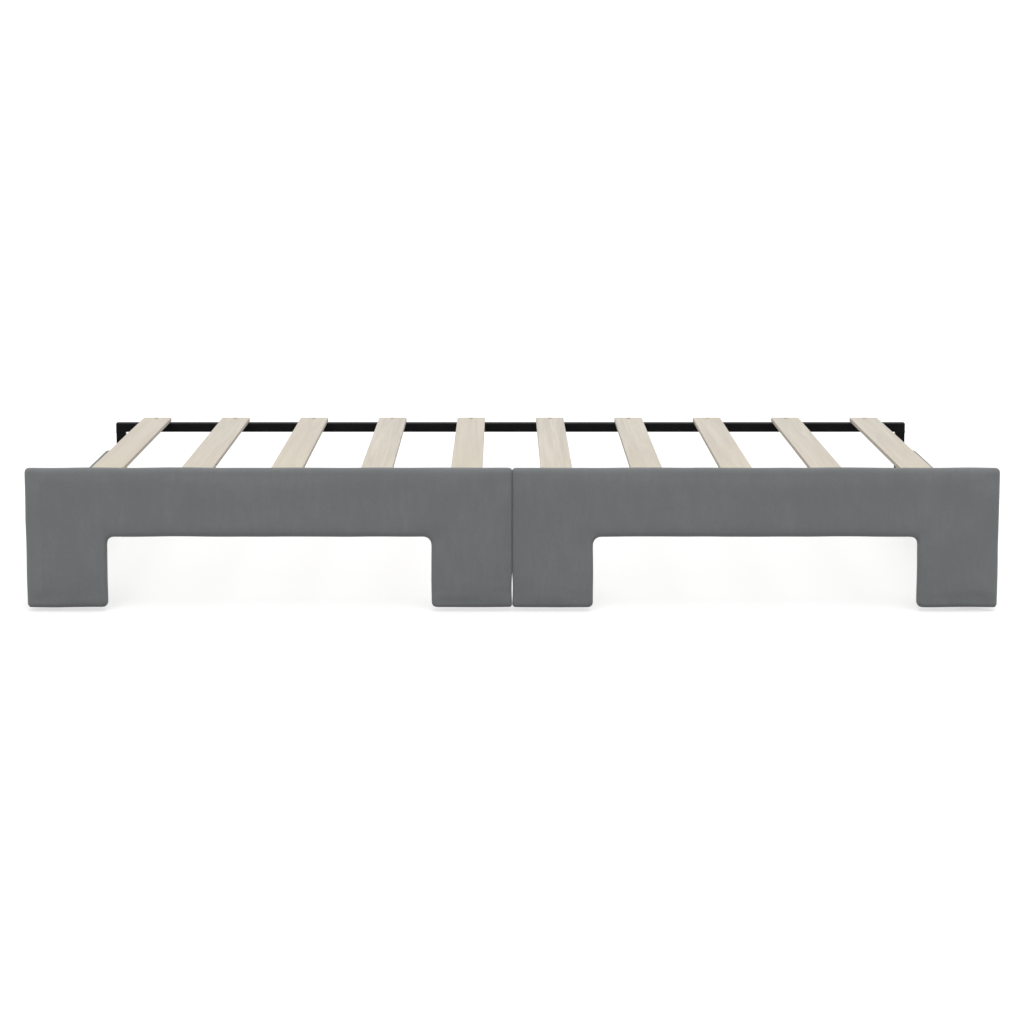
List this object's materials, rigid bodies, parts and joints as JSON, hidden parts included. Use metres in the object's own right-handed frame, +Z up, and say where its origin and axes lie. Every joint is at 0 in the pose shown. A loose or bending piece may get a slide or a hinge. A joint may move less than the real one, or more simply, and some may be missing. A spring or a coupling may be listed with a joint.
{
  "type": "trundle bed",
  "caption": "Low trundle bed: arched upholstered front panels, black steel tube frame, screwed wooden slats and fixed castors.",
  "frame": {"origin": "centre of the bounding box's footprint, on the floor under the castors", "axes": "+X along the bed's length, -Y out of the upholstered front, +Z up"},
  "size_m": [2, 0.936, 0.299],
  "materials": {
    "grey_fabric": "short-nap upholstery weave",
    "lining": "non-woven dust cloth",
    "slat_wood": "bare planed plywood",
    "board_wood": "raw board",
    "black_steel": "black powder coat",
    "zinc_steel": "bright zinc plate",
    "bronzed_screw": "yellow-brown passivated zinc",
    "black_plastic": "moulded",
    "grey_plastic": "moulded nylon",
    "soft_tread": "soft moulded tread"
  },
  "bodies": {
    "frame": {"axle_nuts": "zinc_steel", "back_lining_left": "lining", "back_lining_right": "lining", "castor_axles": "zinc_steel", "castor_fork_front_left": "zinc_steel", "castor_fork_front_right": "zinc_steel", "castor_fork_rear_left": "zinc_steel", "castor_fork_rear_right": "zinc_steel", "castor_screws": "zinc_steel", "foot_plate_front_left": "black_steel", "foot_plate_front_right": "black_steel", "foot_plate_rear_left": "black_steel", "foot_plate_rear_right": "black_steel", "front_board_left": "board_wood", "front_board_right": "board_wood", "front_cover_left": "grey_fabric", "front_cover_right": "grey_fabric", "front_leg_left": "black_steel", "front_leg_right": "black_steel", "front_rail": "black_steel", "joining_plate_lower": "zinc_steel", "joining_plate_upper": "zinc_steel", "joining_screws": "zinc_steel", "panel_bolts": "zinc_steel", "panel_tee_nuts": "zinc_steel", "rail_end_caps": "black_plastic", "rear_leg_left": "black_steel", "rear_leg_right": "black_steel", "rear_rail": "black_steel", "side_board_left": "board_wood", "side_board_right": "board_wood", "side_cover_left": "grey_fabric", "side_cover_right": "grey_fabric", "side_screws": "zinc_steel", "side_tube_left": "black_steel", "side_tube_right": "black_steel", "slat_01": "slat_wood", "slat_02": "slat_wood", "slat_03": "slat_wood", "slat_04": "slat_wood", "slat_05": "slat_wood", "slat_06": "slat_wood", "slat_07": "slat_wood", "slat_08": "slat_wood", "slat_09": "slat_wood", "slat_10": "slat_wood", "slat_screws_front": "bronzed_screw", "slat_screws_rear": "bronzed_screw"},
    "wheel_front_left": {"wheel_hub_front_left": "grey_plastic", "wheel_tread_front_left": "soft_tread"},
    "wheel_front_right": {"wheel_hub_front_right": "grey_plastic", "wheel_tread_front_right": "soft_tread"},
    "wheel_rear_left": {"wheel_hub_rear_left": "grey_plastic", "wheel_tread_rear_left": "soft_tread"},
    "wheel_rear_right": {"wheel_hub_rear_right": "grey_plastic", "wheel_tread_rear_right": "soft_tread"}
  },
  "joints": [
    {"name": "castor_front_left_spin", "type": "hinge", "parent": "frame", "child": "wheel_front_left", "pos_m": [-0.961, -0.384, 0.025], "axis": [1, 0, 0], "continuous": true},
    {"name": "castor_front_right_spin", "type": "hinge", "parent": "frame", "child": "wheel_front_right", "pos_m": [0.961, -0.384, 0.025], "axis": [1, 0, 0], "continuous": true},
    {"name": "castor_rear_left_spin", "type": "hinge", "parent": "frame", "child": "wheel_rear_left", "pos_m": [-0.961, 0.402, 0.025], "axis": [1, 0, 0], "continuous": true},
    {"name": "castor_rear_right_spin", "type": "hinge", "parent": "frame", "child": "wheel_rear_right", "pos_m": [0.961, 0.402, 0.025], "axis": [1, 0, 0], "continuous": true}
  ]
}
